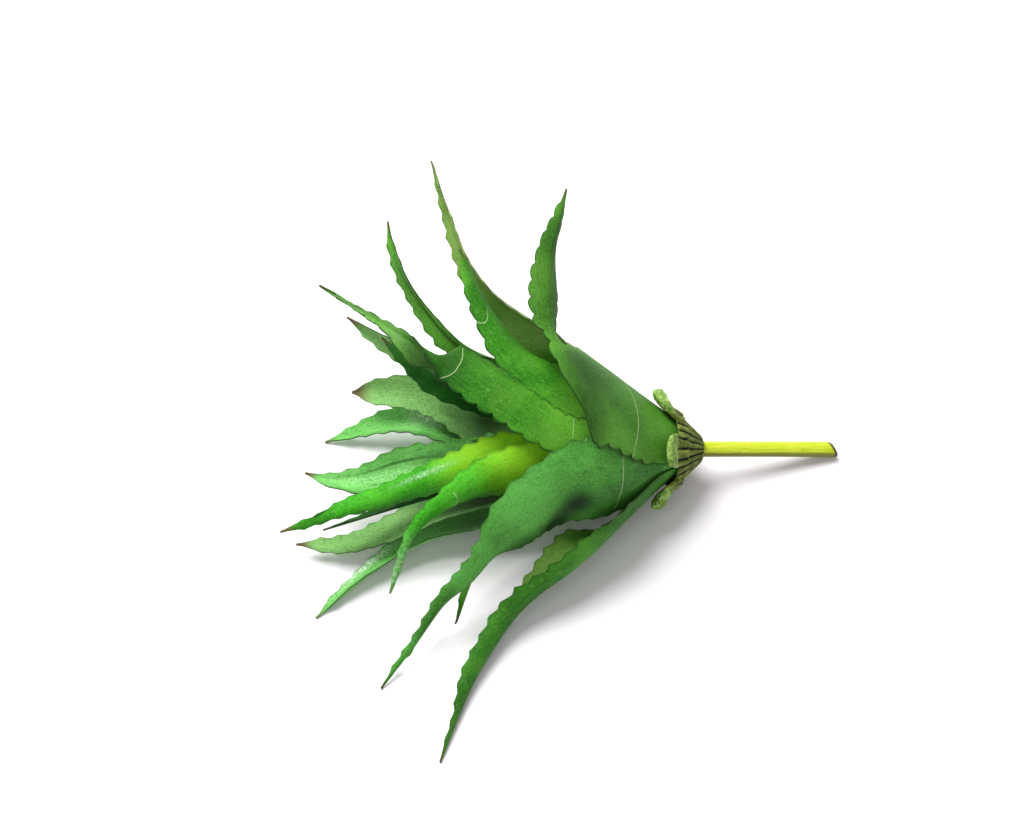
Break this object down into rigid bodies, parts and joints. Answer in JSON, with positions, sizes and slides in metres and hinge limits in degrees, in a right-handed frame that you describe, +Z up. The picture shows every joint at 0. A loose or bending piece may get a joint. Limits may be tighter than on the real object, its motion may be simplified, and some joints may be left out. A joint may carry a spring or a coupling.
{
  "type": "artificial aloe rosette on a stem",
  "caption": "Aloe rosette lying on its side: toothed, channelled green leaves in nested rings that open out of a ribbed calyx with blunt sepals on a short yellow-green stem.",
  "frame": {"origin": "centre of the bounding box's base, on the surface that the rosette lies on", "axes": "+Z up from the surface, +X towards the cut end of the stem, +Y away from the viewer of the picture"},
  "size_m": [0.2298, 0.227, 0.1016],
  "materials": {
    "leaf_mid": "soft satin green with a fine grain and pale mould lines",
    "leaf_lime": "soft satin, bright yellow-green young leaf",
    "leaf_pale": "soft matt, pale grey-green inner leaf face",
    "leaf_dark": "soft satin, deep green",
    "stem": "satin yellow-green with fine lengthwise grooves",
    "calyx": "matt olive with darker grooves between its ribs"
  },
  "bodies": {
    "root": {"leaf_outer_1": "leaf_mid", "leaf_outer_2": "leaf_mid", "leaf_outer_3": "leaf_mid", "leaf_outer_4": "leaf_mid", "leaf_outer_5": "leaf_mid", "leaf_outer_6": "leaf_mid", "leaf_second_1": "leaf_mid", "leaf_second_2": "leaf_mid", "leaf_second_3": "leaf_mid", "leaf_second_4": "leaf_mid", "leaf_second_5": "leaf_pale", "leaf_second_6": "leaf_mid", "leaf_third_1": "leaf_dark", "leaf_third_2": "leaf_lime", "leaf_third_3": "leaf_pale", "leaf_third_4": "leaf_mid", "leaf_third_5": "leaf_pale", "leaf_heart_1": "leaf_lime", "leaf_heart_2": "leaf_dark", "leaf_heart_3": "leaf_lime", "leaf_heart_4": "leaf_lime", "stem": "stem", "calyx": "calyx"}
  },
  "joints": []
}
